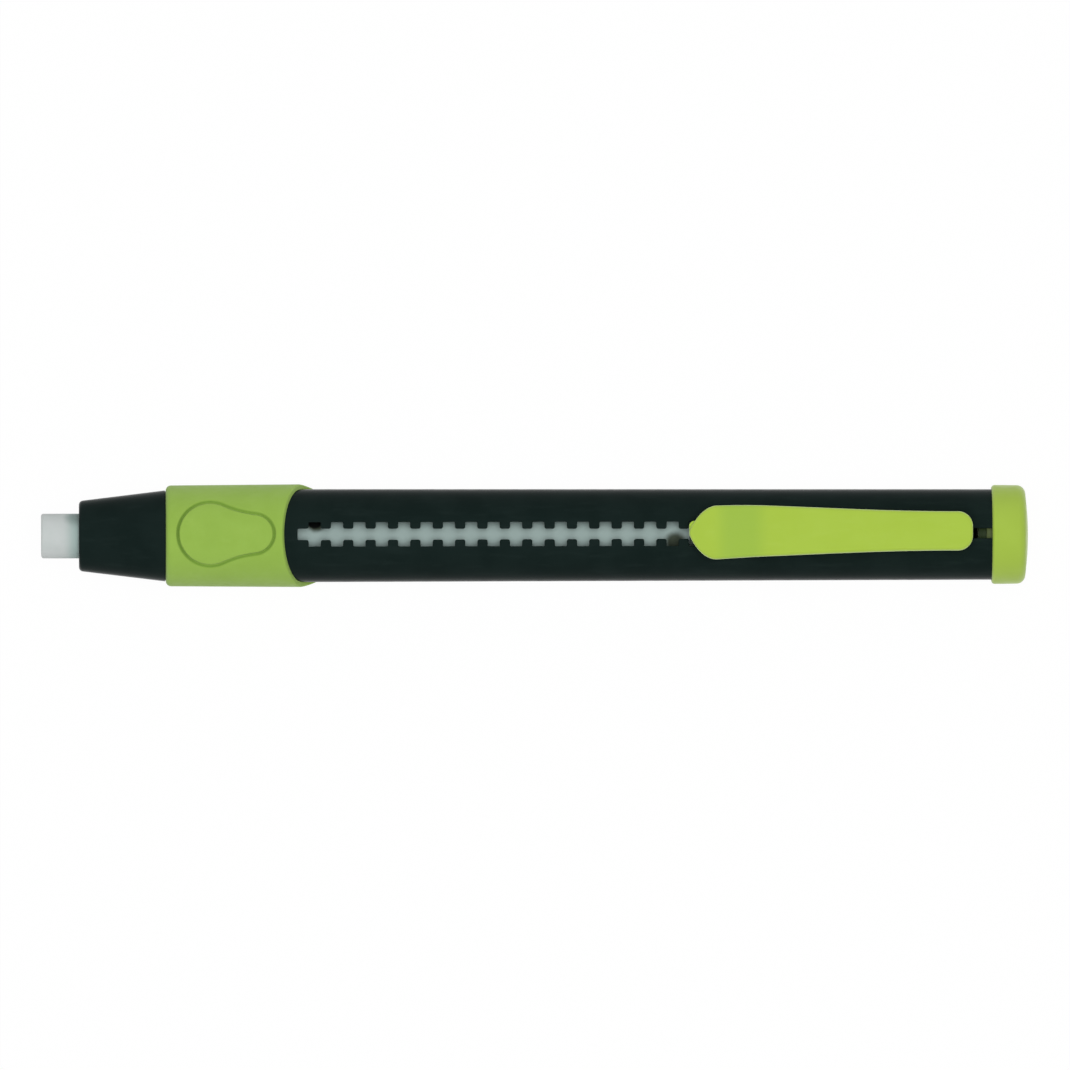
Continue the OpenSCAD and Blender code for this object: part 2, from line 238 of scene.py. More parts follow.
def rounded(corners, steps=6):
    """Points of a closed outline of (x, y, rounding) corners, each rounded by its own radius."""
    points = []
    for i, (x, y, radius) in enumerate(corners):
        if radius == 0:
            points.append((x, y))
            continue
        here = Vector((x, y))
        back = (Vector(corners[i - 1][:2]) - here).normalized()
        ahead = (Vector(corners[(i + 1) % len(corners)][:2]) - here).normalized()
        half = back.angle(ahead) / 2
        centre = here + (back + ahead).normalized() * radius / math.sin(half)
        start = here + back * radius / math.tan(half) - centre
        end = here + ahead * radius / math.tan(half) - centre
        turn = math.atan2(start.cross(end), start.dot(end))
        for s in range(steps + 1):
            a = turn * s / steps
            arm = (start.x * math.cos(a) - start.y * math.sin(a),
                   start.x * math.sin(a) + start.y * math.cos(a))
            points.append((centre.x + arm[0], centre.y + arm[1]))
    return points


def at(x, radius, angle):
    """A point of the pen at a distance from its axis and an angle from its top."""
    return x, radius * math.sin(angle), radius * math.cos(angle)


def arc(cx, cy, radius, a0, a1, steps):
    """Points of an arc about (cx, cy), angles in degrees."""
    angles = np.radians(np.linspace(a0, a1, steps + 1))
    return [(cx + radius * math.cos(a), cy + radius * math.sin(a)) for a in angles]


def turned(outline, sides=192):
    """Points and faces of a closed outline of (x, radius), turned about the pen's axis."""
    points, rings = [], []
    for x, r in outline:
        if r < 1e-6:
            rings.append([len(points)])
            points.append((x, 0, 0))
            continue
        rings.append(list(range(len(points), len(points) + sides)))
        for a in np.linspace(0, 2 * math.pi, sides, endpoint=False):
            points.append(at(x, r, a))
    faces = []
    for ring, after in zip(rings, rings[1:] + rings[:1]):
        for k in range(sides):
            j = (k + 1) % sides
            if len(ring) == 1 and len(after) == 1:
                break
            if len(ring) == 1:
                faces.append((ring[0], after[j], after[k]))
            elif len(after) == 1:
                faces.append((ring[k], ring[j], after[0]))
            else:
                faces.append((ring[k], ring[j], after[j], after[k]))
    return points, faces


def grid_faces(rows, columns, wrap=False, start=0):
    """Quads between rows of points that were laid down one after another."""
    faces = []
    for i in range(rows - 1):
        for j in range(columns if wrap else columns - 1):
            a, b = start + i * columns + j, start + i * columns + (j + 1) % columns
            faces.append((a, b, b + columns, a + columns))
    return faces


def inside(points, outline):
    """Which points lie inside a closed outline, and how far each is from it."""
    points, a = np.asarray(points, float), np.asarray(outline, float)
    b = np.roll(a, -1, 0)
    px, py = points[:, :1], points[:, 1:]
    crosses = (a[:, 1] > py) != (b[:, 1] > py)
    rise = np.where(b[:, 1] == a[:, 1], 1e-12, b[:, 1] - a[:, 1])
    hits = crosses & (px < (b[:, 0] - a[:, 0]) * (py - a[:, 1]) / rise + a[:, 0])
    edge = b - a
    along = ((px - a[:, 0]) * edge[:, 0] + (py - a[:, 1]) * edge[:, 1]) / (edge ** 2).sum(1)
    along = np.clip(along, 0, 1)
    gap = np.hypot(px - a[:, 0] - along * edge[:, 0], py - a[:, 1] - along * edge[:, 1])
    return hits.sum(1) % 2 == 1, gap.min(1)


def filled(outline, spacing=None):
    """Flat points and triangles that fill a closed outline, with inner points at that spacing."""
    flat = [tuple(p) for p in outline]
    if spacing:
        low, high = np.min(flat, 0), np.max(flat, 0)
        xs, ys = (np.arange(lo + spacing / 2, hi, spacing) for lo, hi in zip(low, high))
        spots = np.array([(x, y) for x in xs for y in ys])
        within, gap = inside(spots, flat)
        flat += [tuple(p) for p in spots[within & (gap > 0.45 * spacing)]]
    ring = len(outline)
    edges = [(i, (i + 1) % ring) for i in range(ring)]
    made = delaunay_2d_cdt([Vector(p) for p in flat], edges, [], 1, 1e-7)
    points = [flat[source[0]] if source else tuple(p) for p, source in zip(made[0], made[3])]
    return points, [tuple(f) for f in made[2]]


class Shell:
    """Collects patches of a surface, whose shared edges are welded later."""

    def __init__(self):
        self.points, self.faces = [], []

    def add(self, points, faces):
        """A patch of points and the faces between them."""
        start = len(self.points)
        self.points += [tuple(p) for p in points]
        self.faces += [tuple(start + i for i in face) for face in faces]

    def add_grid(self, rows, wrap=False):
        """Rows of points with quads between them."""
        flat = [p for r in rows for p in r]
        self.add(flat, grid_faces(len(rows), len(rows[0]), wrap))


WELD = 2e-7
SHARP_FROM = math.radians(38)


def finish_mesh(mesh):
    """Welds the patches, turns every face outwards and keeps real edges crisp."""
    bm = bmesh.new()
    bm.from_mesh(mesh)
    bmesh.ops.remove_doubles(bm, verts=bm.verts, dist=WELD)
    bmesh.ops.dissolve_degenerate(bm, edges=bm.edges, dist=WELD / 4)
    bmesh.ops.recalc_face_normals(bm, faces=bm.faces)
    bm.to_mesh(mesh)
    bm.free()
    mesh.shade_smooth()
    mesh.set_sharp_from_angle(angle=SHARP_FROM)


def solid(name, points, faces):
    """A closed mesh object from points in pen millimetres."""
    mesh = bpy.data.meshes.new(name)
    mesh.from_pydata([tuple(p) for p in place(points)], [], faces)
    finish_mesh(mesh)
    made = bpy.data.objects.new(name, mesh)
    bpy.context.scene.collection.objects.link(made)
    return made


def soft_box(name, low, high, rounding):
    """A box with rounded edges, from its lowest to its highest corner."""
    mesh = bpy.data.meshes.new(name)
    bm = bmesh.new()
    bmesh.ops.create_cube(bm, size=1)
    low, high = Vector(low), Vector(high)
    for v in bm.verts:
        v.co = Vector(place([(low + high) / 2 + Vector(a * b for a, b in zip(v.co, high - low))])[0])
    bmesh.ops.bevel(bm, geom=bm.edges, offset=rounding * MM, segments=3, profile=0.5,
                    affect="EDGES", clamp_overlap=True)
    bm.to_mesh(mesh)
    bm.free()
    made = bpy.data.objects.new(name, mesh)
    bpy.context.scene.collection.objects.link(made)
    return made


def upright_block(name, outline, low, high):
    """A block with the given outline seen from above."""
    points, faces = filled(outline)
    shell = Shell()
    shell.add_grid([[(x, y, z) for x, y in outline] for z in (low, high)], wrap=True)
    for z in (low, high):
        shell.add([(x, y, z) for x, y in points], faces)
    return solid(name, shell.points, shell.faces)


def cross_pin(name, x, z, radius, reach, rounding):
    """A round pin across the pen with softened ends."""
    outline = rounded([(-reach, 0, 0), (-reach, radius, rounding), (reach, radius, rounding),
                       (reach, 0, 0)], 3)
    points, faces = turned(outline, 48)
    return solid(name, [(x + q[1], q[0], z + q[2]) for q in points], faces)


def upright_pin(name, x, low, high, radius):
    """A round pin that stands up in the pen."""
    outline = rounded([(low, 0, 0), (low, radius, 0.15), (high, radius, 0), (high, 0, 0)], 3)
    points, faces = turned(outline, 48)
    return solid(name, [(x + q[1], q[2], q[0]) for q in points], faces)


def combined(base, changes):
    """Joins solids to the base or cuts them out of it, and removes them."""
    for operation, other in changes:
        step = base.modifiers.new(other.name, "BOOLEAN")
        step.operation = operation
        step.solver = "EXACT"
        step.object = other
    depsgraph = bpy.context.evaluated_depsgraph_get()
    mesh = bpy.data.meshes.new_from_object(base.evaluated_get(depsgraph))
    base.modifiers.clear()
    base.data = mesh
    for _, other in changes:
        bpy.data.objects.remove(other)
    finish_mesh(mesh)
    return base


def stand_for(made, node, material):
    """The piece takes a node's place: the node is hidden and the piece gets the material."""
    made.data.materials.clear()
    made.data.materials.append(material)
    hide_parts(node)
    return made


# Materials

def linear(red, green, blue):
    """A colour written in 0 to 255 as the picture shows it, as a shader takes it."""
    shown = [c / 255 for c in (red, green, blue)]
    return [c / 12.92 if c <= 0.04045 else ((c + 0.055) / 1.055) ** 2.4 for c in shown] + [1]


class Nodes:
    """Short ways to add and link shader nodes."""

    def __init__(self, owner, shader="Principled BSDF"):
        owner.use_nodes = True
        self.tree = owner.node_tree
        self.shader = self.tree.nodes[shader]

    def add(self, kind, values=(), **settings):
        """A new node with its inputs and settings."""
        node = self.tree.nodes.new("ShaderNode" + kind)
        for key, value in settings.items():
            setattr(node, key, value)
        for key, value in dict(values).items():
            self.put(value, node.inputs[key])
        return node

    def put(self, value, socket):
        """Links another node's output to a socket, or sets the socket to a plain value."""
        if isinstance(value, bpy.types.NodeSocket):
            self.tree.links.new(value, socket)
        else:
            socket.default_value = value

    def millimetres(self, stretch=(1, 1, 1)):
        """The piece's own coordinates in millimetres, squeezed by a factor along each axis."""
        place_node = self.add("TexCoord")
        mapping = self.add("Mapping", {"Vector": place_node.outputs["Object"]})
        mapping.inputs["Scale"].default_value = [s / MM for s in stretch]
        return mapping.outputs["Vector"]

    def pen_place(self):
        """Where a point lies on the pen: along it, across it and up, in millimetres."""
        place_node = self.add("TexCoord")
        mapping = self.add("Mapping", {"Vector": place_node.outputs["Object"]})
        mapping.inputs["Location"].default_value = (-NOSE_FRONT / MM, 0, -AXIS_Z / MM)
        mapping.inputs["Scale"].default_value = (1 / MM, 1 / MM, 1 / MM)
        return mapping.outputs["Vector"]

    def along(self):
        """Distance behind the nose's front."""
        return self.add("SeparateXYZ", {"Vector": self.pen_place()}).outputs["X"]

    def radius(self):
        """Distance from the pen's axis."""
        across = self.add("VectorMath", operation="MULTIPLY")
        self.put(self.pen_place(), across.inputs[0])
        across.inputs[1].default_value = (0, 1, 1)
        length = self.add("VectorMath", operation="LENGTH")
        self.put(across.outputs["Vector"], length.inputs[0])
        return length.outputs["Value"]

    def spot(self, centre, inner, outer):
        """1 within a distance of a point on the pen, fading to 0."""
        gap = self.add("VectorMath", operation="DISTANCE")
        self.put(self.pen_place(), gap.inputs[0])
        gap.inputs[1].default_value = centre
        uneven = self.sum(self.noise(self.millimetres(), 1.6, 3), 0.3, "MULTIPLY")
        return self.ramp(self.sum(gap.outputs["Value"], uneven), inner + 0.15, outer + 0.15, 1, 0)

    def noise(self, vector, per_mm, detail=3, rough=0.55):
        """Cloudy values about 0.5, at a number of clouds per millimetre."""
        node = self.add("TexNoise", {"Vector": vector, "Scale": per_mm, "Detail": detail,
                                     "Roughness": rough})
        return node.outputs["Fac"]

    def ramp(self, value, low, high, to_low=0, to_high=1):
        """Maps a value between low and high to another range, smoothly."""
        node = self.add("MapRange", {"Value": value, "From Min": low, "From Max": high,
                                     "To Min": to_low, "To Max": to_high},
                        interpolation_type="SMOOTHSTEP")
        return node.outputs["Result"]

    def mix(self, share, first, second):
        """The first colour with a share of the second."""
        node = self.add("Mix", data_type="RGBA")
        self.put(share, node.inputs["Factor"])
        self.put(first, node.inputs[6])
        self.put(second, node.inputs[7])
        return node.outputs[2]

    def sum(self, first, second, operation="ADD"):
        """Two values added, or joined by another operation."""
        node = self.add("Math", operation=operation)
        self.put(first, node.inputs[0])
        self.put(second, node.inputs[1])
        return node.outputs[0]

    def bump(self, height, depth_mm, strength=1.0, under=None):
        """Small relief of a depth in millimetres, on top of another relief."""
        values = {"Height": height, "Distance": depth_mm * MM, "Strength": strength}
        node = self.add("Bump", values)
        if under:
            self.put(under, node.inputs["Normal"])
        return node.outputs["Normal"]


def new_material(name, colour):
    """A material with its viewport colour, and its nodes."""
    material = bpy.data.materials.new(name)
    material.diffuse_color = colour
    return material, Nodes(material)


# A sheen's tint, and painted shade on the clip's dip behind its tip: its middle, where it fades and its
# share
SHEEN_TINT = (0.8, 0.9, 0.6, 1)
DIP_SHADE_BACK = 7.6
DIP_SHADE_REACH = (1.5, 4.5)
DIP_SHADE_SHARE = 0.9


def moulded_plastic(name, colour, shade, tint, gloss, specular, grain_mm, grain_depth, sheen=0.0,
                    inner=None, dip_shade=None):
    """Injection-moulded plastic: faint clouding, fine grain and light rubbing along the pen.

    inner holds the colours of painted shade on the cap's plug, before its step and behind it. band is the
    colour of painted shade on the clip's dip behind its tip.
    """
    material, n = new_material(name, colour)
    spots = n.millimetres()
    clouds = n.noise(spots, 0.16, 4)
    flow = n.noise(n.millimetres((0.35, 1.6, 1.6)), 0.5, 5)
    rubbed = n.ramp(n.noise(n.millimetres((0.25, 5, 5)), 1.3, 6, 0.65), 0.56, 0.76)
    base = n.mix(n.ramp(clouds, 0.34, 0.66), shade, colour)
    base = n.mix(n.sum(n.ramp(flow, 0.5, 0.75), 0.35, "MULTIPLY"), base, tint)
    # Painted shade on the cap's plug, where it lies deep in the slot under the barrel's wall, darkest before
    # its step
    if inner:
        step = n.ramp(n.along(), CAP_PLUG_FRONT + PLUG_STEP, CAP_PLUG_FRONT + PLUG_STEP + 0.1)
        rim = n.sum(n.ramp(n.radius(), CAP_SKIRT_R, CAP_SKIRT_R + 0.15),
                    n.ramp(n.along(), CAP_RIM + 1, CAP_RIM + 1.5), "MAXIMUM")
        base = n.mix(rim, n.mix(step, *inner), base)
    # Painted shade on the clip's dip behind its tip, where the arm slopes away from the light
    if dip_shade:
        off = n.sum(n.sum(n.along(), CLIP_TIP + DIP_SHADE_BACK, "SUBTRACT"), 0, "ABSOLUTE")
        base = n.mix(n.ramp(off, *DIP_SHADE_REACH, DIP_SHADE_SHARE, 0), base, dip_shade)
    n.put(base, n.shader.inputs["Base Color"])
    n.put(sheen, n.shader.inputs["Sheen Weight"])
    n.put(SHEEN_TINT, n.shader.inputs["Sheen Tint"])
    n.put(0.4, n.shader.inputs["Sheen Roughness"])
    rough = n.ramp(n.noise(spots, 0.7, 5), 0.3, 0.7, gloss - 0.05, gloss + 0.06)
    n.put(n.sum(rough, n.sum(rubbed, 0.07, "MULTIPLY")), n.shader.inputs["Roughness"])
    n.put(specular, n.shader.inputs["Specular IOR Level"])
    waves = n.bump(n.noise(spots, 0.3, 2), 0.03, 0.35)
    grain = n.bump(n.noise(spots, 1 / grain_mm, 4, 0.6), grain_depth, 0.8, waves)
    n.put(grain, n.shader.inputs["Normal"])
    return material


GROOVE_NAME = "groove"


def rubber(name, colour, shade, tint, groove_shade_and_dirt_colour):
    """Matt moulded rubber: fine pitted grain, a soft sheen, and painted shade with some dirt in the pad's
    groove, lighter towards its rear.
    """
    material, n = new_material(name, colour)
    spots = n.millimetres()
    clouds = n.ramp(n.noise(spots, 0.2, 5), 0.32, 0.68)
    handled = n.ramp(n.noise(n.millimetres((0.8, 1, 1)), 0.55, 6, 0.62), 0.52, 0.78)
    base = n.mix(clouds, shade, colour)
    base = n.mix(n.sum(handled, 0.4, "MULTIPLY"), base, tint)
    # Painted shade, with some dirt, in the pad's groove, lighter towards its rear
    groove_shade_and_dirt = n.add("Attribute", attribute_name=GROOVE_NAME).outputs["Fac"]
    fading = n.ramp(n.along(), PAD_FRONT_X, PAD_FRONT_X + PAD_STEP, 1, 0.75)
    base = n.mix(n.sum(groove_shade_and_dirt, fading, "MULTIPLY"), base, groove_shade_and_dirt_colour)
    n.put(base, n.shader.inputs["Base Color"])
    n.put(n.ramp(n.noise(spots, 1.1, 5), 0.3, 0.7, 0.56, 0.7), n.shader.inputs["Roughness"])
    n.put(0.3, n.shader.inputs["Specular IOR Level"])
    n.put(0.08, n.shader.inputs["Sheen Weight"])
    n.put(0.5, n.shader.inputs["Sheen Roughness"])
    pits = n.add("TexVoronoi", {"Vector": spots, "Scale": 6.5, "Randomness": 1.0})
    pitted = n.bump(n.ramp(pits.outputs["Distance"], 0.05, 0.6), 0.012, 0.7)
    fine = n.bump(n.noise(spots, 14, 3, 0.6), 0.008, 0.7, pitted)
    n.put(fine, n.shader.inputs["Normal"])
    return material


# Painted shade and dark spots on the eraser: the centre on the pen, how far each is full and where it has
# faded
# The nose's painted shadow on the top of the tip
TIP_SHADE = ((-0.5, 2.7, 2), 0.3, 2.2)
# A soft dark halo and a near-black spot at the first notch
FIRST_NOTCH_DARK_HALO = ((35, 1.8, 2.8), 1, 1.8)
FIRST_NOTCH_DARK_SPOT = ((34.8, 1.95, 2.65), 0.95, 1.3)
# The clip tip's painted shadow in the last notch
LAST_NOTCH_CLIP_SHADOW = ((88, -1.1, 3.1), 0.8, 2)

# Where along the stick the painted shade of the nose and of the pen's inside sets in
INNER_SHADE = (-2.4, -0.4)


def vinyl(name, colour, shade, smudge, inner, shaded, first_notch_dark, notch_dark_and_shadow):
    """Soft white eraser vinyl with dusty specks, painted shade inside the pen and by the nose, dark spots at
    the first notch and the clip tip's painted shadow.
    """
    material, n = new_material(name, colour)
    spots = n.millimetres()
    clouds = n.ramp(n.noise(spots, 0.25, 5), 0.3, 0.7)
    base = n.mix(clouds, shade, colour)
    specks = n.ramp(n.noise(spots, 5.5, 3, 0.6), 0.68, 0.8, 0, 0.35)
    base = n.mix(specks, base, smudge)
    # Painted shade: the stick turns darker and greener from just in front of the nose, for the nose's shadow
    # and the shade inside the pen
    base = n.mix(n.ramp(n.along(), *INNER_SHADE), base, inner)
    # Painted shadow of the nose on the top of the tip
    base = n.mix(n.spot(*TIP_SHADE), base, shaded)
    # A soft dark halo and a near-black spot at the first notch
    base = n.mix(n.spot(*FIRST_NOTCH_DARK_HALO), base, notch_dark_and_shadow)
    base = n.mix(n.spot(*FIRST_NOTCH_DARK_SPOT), base, first_notch_dark)
    # Painted shadow of the clip's tip in the last notch
    base = n.mix(n.spot(*LAST_NOTCH_CLIP_SHADOW), base, notch_dark_and_shadow)
    n.put(base, n.shader.inputs["Base Color"])
    n.put(n.ramp(n.noise(spots, 1.4, 4), 0.3, 0.7, 0.52, 0.68), n.shader.inputs["Roughness"])
    n.put(0.3, n.shader.inputs["Specular IOR Level"])
    n.put(0.12, n.shader.inputs["Subsurface Weight"])
    n.put((1, 1, 1), n.shader.inputs["Subsurface Radius"])
    n.put(0.6 * MM, n.shader.inputs["Subsurface Scale"])
    soft = n.bump(n.noise(spots, 0.9, 3), 0.03, 0.5)
    dust = n.bump(n.noise(spots, 9, 4, 0.65), 0.015, 0.8, soft)
    n.put(dust, n.shader.inputs["Normal"])
    return material


BLACK = moulded_plastic("black_plastic", linear(24, 36, 34), linear(20, 32, 30), linear(33, 45, 43),
                        0.2, 0.018, 0.09, 0.003)
# The lime plastic carries painted shade on the clip's dip behind its tip
LIME = moulded_plastic("lime_plastic", linear(168, 197, 69), linear(166, 195, 66), linear(172, 200, 78),
                       0.36, 0.3, 0.12, 0.002, 0.75, dip_shade=linear(155, 188, 69))
# The cap's lime, with painted shade on its plug: before its step and behind it
LIME_CAP = moulded_plastic("lime_cap", linear(165, 193, 74), linear(162, 190, 71), linear(168, 196, 79),
                           0.42, 0.25, 0.12, 0.003, 0.25, (linear(42, 56, 32), linear(84, 95, 58)))
DARK = moulded_plastic("holder_plastic", linear(30, 40, 39), linear(25, 35, 34), linear(40, 50, 49),
                       0.4, 0.3, 0.1, 0.005)
# The last colour is the groove's painted shade with some dirt
RUBBER = rubber("lime_rubber", linear(149, 184, 79), linear(145, 180, 75), linear(155, 189, 86),
                linear(106, 140, 52))
# Eraser colours: vinyl, its clouding, dusty specks, painted shade inside the pen, the nose's painted shadow,
# a near-black spot at the first notch, and the notches' darkening, which at the last notch is the clip tip's
# painted shadow
VINYL = vinyl("eraser", linear(204, 209, 208), linear(197, 204, 202), linear(170, 175, 174),
              linear(166, 185, 181), linear(137, 154, 150), linear(10, 12, 11), linear(64, 72, 60))


# Eraser and nose cone

def eraser_stick():
    """The stick, with its tip's edge a little worn."""
    tip = ERASER_TIP
    bands = [tip + 0.6 + i * 0.4 for i in range(8)]
    outline = [(tip, 0), (tip, ERASER_R * 0.35), (tip, ERASER_R * 0.7)]
    outline += arc(tip + ERASER_ROUND, ERASER_R - ERASER_ROUND, ERASER_ROUND, 180, 90, 7)
    outline += [(x, ERASER_R) for x in bands]
    outline += [(x, ERASER_R) for x in np.linspace(bands[-1] + 4, ERASER_REAR - 0.2, 24)]
    outline += [(ERASER_REAR, ERASER_R - 0.2), (ERASER_REAR, 0)]
    points, faces = turned(outline)
    made = solid("eraser_stick_vinyl", points, faces)
    wear_tip(made.data)
    return stand_for(made, "eraser_stick", VINYL)


def wear_tip(mesh):
    """Presses the tip's edge in by a few hundredths of a millimetre, unevenly round it."""
    depth, reach = 0.07, 1.6
    for v in mesh.vertices:
        x, y, z = on_pen(v.co)
        near = max(0, 1 - (x - ERASER_TIP) / reach)
        rim = (math.hypot(y, z) / ERASER_R) ** 4
        ripple = 0.5 + 0.3 * math.sin(3 * math.atan2(y, z) + 1) + 0.2 * math.sin(7 * math.atan2(y, z))
        v.co.x += depth * near * rim * ripple * MM
        inward = 1 - 0.3 * depth * near * ripple / ERASER_R
        v.co.y *= inward
        v.co.z = AXIS_Z + (v.co.z - AXIS_Z) * inward


def nose_cone():
    """The cone with its rounded front, a shadow lip at the grip and its guide bore."""
    guide_r = ERASER_R + RUN_GAP
    mouth, lip, lip_depth, relief = 0.25, 0.12, 0.12, 0.7
    outline = rounded([
        (0, guide_r + mouth, 0.1),
        (0, NOSE_FRONT_R, NOSE_ROUND),
        (NOSE_LEN - lip, NOSE_REAR_R, 0.06),
        (NOSE_LEN - lip, NOSE_REAR_R - lip_depth, 0),
        (NOSE_LEN, NOSE_REAR_R - lip_depth, 0),
        (NOSE_LEN, BORE_R - RUN_GAP, 0),
        (SPIGOT_END, BORE_R - RUN_GAP, 0.3),
        (SPIGOT_END, guide_r + relief, 0.1),
        (GUIDE_LEN + mouth, guide_r + relief, 0),
        (GUIDE_LEN, guide_r, 0),
        (mouth, guide_r, 0.1)])
    points, faces = turned(outline)
    return stand_for(solid("nose_cone_shell", points, faces), "nose_cone", BLACK)


# Grip sleeve

def grip_r(x):
    """The sleeve's outer radius, which grows evenly towards its rear end."""
    return GRIP_FRONT_R + (GRIP_REAR_R - GRIP_FRONT_R) * (x - NOSE_LEN) / (GRIP_LOW_END - NOSE_LEN)


def cut_x(z):
    """Where the grip's rear cut lies at a height: slanted, and bent further back below the axis."""
    middle = GRIP_TOP_END + GRIP_REAR_R * math.tan(GRIP_SLANT)
    if z >= 0:
        return middle - z * math.tan(GRIP_SLANT)
    bend_x, bend_z = middle + GRIP_BEND_R * math.cos(GRIP_SLANT), GRIP_BEND_R * math.sin(GRIP_SLANT)
    straight_z = bend_z - GRIP_BEND_R * math.sin(GRIP_LOW_SLANT)
    if z >= straight_z:
        return bend_x - math.sqrt(GRIP_BEND_R ** 2 - (bend_z - z) ** 2)
    return bend_x - GRIP_BEND_R * math.cos(GRIP_LOW_SLANT) + (straight_z - z) * math.tan(GRIP_LOW_SLANT)


def slant_x(radius, angle):
    """Where the grip's rear cut meets a given radius, at an angle from the top."""
    return cut_x(radius * math.cos(angle))


def pad_edge(x, y):
    """Distance from the thumb pad's outline, negative inside: two lobes joined by a hollow."""
    y = abs(y - PAD_ASIDE)
    near, far = PAD_FRONT_R + PAD_WAIST_R, PAD_REAR_R + PAD_WAIST_R
    hollow_x = (near ** 2 - far ** 2 + PAD_STEP ** 2) / (2 * PAD_STEP)
    hollow_y = math.sqrt(near ** 2 - hollow_x ** 2)
    px = x - PAD_FRONT_X
    to_hollow_x, to_hollow_y = hollow_x - px, hollow_y - y
    front_side = to_hollow_x * hollow_y - to_hollow_y * hollow_x
    rear_side = to_hollow_x * hollow_y - to_hollow_y * (hollow_x - PAD_STEP)
    if front_side < 0 < rear_side and to_hollow_y > 0:
        return PAD_WAIST_R - math.hypot(to_hollow_x, to_hollow_y)
    return min(math.hypot(px, y) - PAD_FRONT_R, math.hypot(px - PAD_STEP, y) - PAD_REAR_R)


def groove_share(x, y):
    """1 in the middle of the pad's groove, falling to 0 at its sides."""
    return max(0, 1 - abs(pad_edge(x, y)) / (GROOVE_W / 2))


def pad_depth(x, y):
    """How deep the groove and the dish of the pad lie below the sleeve's surface."""
    edge = pad_edge(x, y)
    groove = groove_share(x, y)
    groove = GROOVE_DEPTH * groove * groove * (3 - 2 * groove)
    inner = min(max(-(edge + PAD_DISH_FROM) / PAD_DISH_SLOPE, 0), 1)
    return groove + PAD_DISH * inner * inner * (3 - 2 * inner)


def grip_column(angle, rows=190, steps=5):
    """The sleeve's closed section at an angle from the top, with the pad pressed into its surface."""
    core_r = GRIP_FRONT_R - GRIP_WALL
    rear_r = grip_r(slant_x(grip_r(GRIP_TOP_END), angle))
    rear = slant_x(rear_r, angle)
    edge = rounded([(NOSE_LEN, core_r, 0), (NOSE_LEN, GRIP_FRONT_R, GRIP_ROUND),
                    (rear, rear_r, GRIP_RIM_ROUND), (slant_x(core_r, angle), core_r, 0)], steps)
    front, back = edge[steps + 1], edge[steps + 2]
    column = [at(x, r, angle) for x, r in edge[:steps + 2]]
    for i in range(1, rows):
        x = front[0] + (back[0] - front[0]) * i / rows
        r = front[1] + (back[1] - front[1]) * i / rows
        if math.cos(angle) > 0:
            r -= pad_depth(x, r * math.sin(angle))
        column.append(at(x, r, angle))
    return column + [at(x, r, angle) for x, r in edge[steps + 2:]]


def mark_groove(mesh):
    """Marks the pad's groove on the mesh, where the rubber paints shade with some dirt."""
    mark = mesh.attributes.new(GROOVE_NAME, "FLOAT", "POINT")
    for v, share in zip(mesh.vertices, mark.data):
        x, y, z = on_pen(v.co)
        if z > 0:
            share.value = groove_share(x, y)


def grip_sleeve():
    """The rubber sleeve: rounded front, slanted rounded rear edge and the grooved thumb pad."""
    fine, coarse = 0.8, 2.6
    angles = np.concatenate([np.arange(-PAD_SIDE, PAD_SIDE, fine),
                             np.arange(PAD_SIDE, 360 - PAD_SIDE, coarse)])
    columns = [grip_column(angle) for angle in np.radians(angles)]
    shell = Shell()
    shell.add_grid([*columns, columns[0]], wrap=True)
    made = solid("grip_sleeve_rubber", shell.points, shell.faces)
    mark_groove(made.data)
    return stand_for(made, "grip_sleeve", RUBBER)


# Barrel

def barrel_r(x):
    """The barrel's radius, which falls evenly towards its rear end."""
    share = (x - GRIP_TOP_END) / (BARREL_END - GRIP_TOP_END)
    return BARREL_FRONT_R + (BARREL_REAR_R - BARREL_FRONT_R) * share


def slot_half(x):
    """Half the slot's width: it narrows a little from its front end to under the clip."""
    share = min(max((x - SLOT_START) / (CLIP_TIP - SLOT_START), 0), 1)
    return (SLOT_FLARE[0] + (SLOT_FLARE[1] - SLOT_FLARE[0]) * share) / 2


def slot_side(gap):
    """Half the slot's outline at a distance gap into the wall, from its front to its rear end."""
    side, across = slot_half(SLOT_START), NOTCH_ACROSS / 2
    tooth, corner = TOOTH_ROUND - gap, NOTCH_ROUND + gap
    points = [(SLOT_START - gap, 0), (SLOT_START - gap, side / 2 - SLOT_FRONT_ROUND / 2)]
    points += arc(SLOT_START + SLOT_FRONT_ROUND, side - SLOT_FRONT_ROUND, SLOT_FRONT_ROUND + gap, 180, 90, 4)
    for i in range(NOTCH_COUNT):
        start = NOTCH_FIRST + i * NOTCH_PITCH
        end = start + NOTCH_LEN
        side = slot_half(start)
        points += arc(start - TOOTH_ROUND, side + TOOTH_ROUND, tooth, -90, 0, 4)
        points += arc(start + NOTCH_ROUND, across - NOTCH_ROUND, corner, 180, 90, 3)
        points += [((start + end) / 2, across + gap)]
        points += arc(end - NOTCH_ROUND, across - NOTCH_ROUND, corner, 90, 0, 3)
        points += arc(end + TOOTH_ROUND, side + TOOTH_ROUND, tooth, 180, 270, 4)
    last = points[-1][0]
    points += [(x, side + gap) for x in np.linspace(last, BARREL_END, 24)[1:]]
    return points


def slot_outline(gap):
    """The whole slot, from its rear end on the -y side, round its front, to the +y side."""
    side = slot_side(gap)
    return [(x, -y) for x, y in side[:0:-1]] + side


# Angles across the strip that holds the slot and round the rest, and places along the slot
ACROSS = np.linspace(-STRIP_ANGLE, STRIP_ANGLE, 15)
AROUND = np.linspace(STRIP_ANGLE, 2 * math.pi - STRIP_ANGLE, 130)
STATIONS = np.linspace(STRIP_START, BARREL_END, 96)


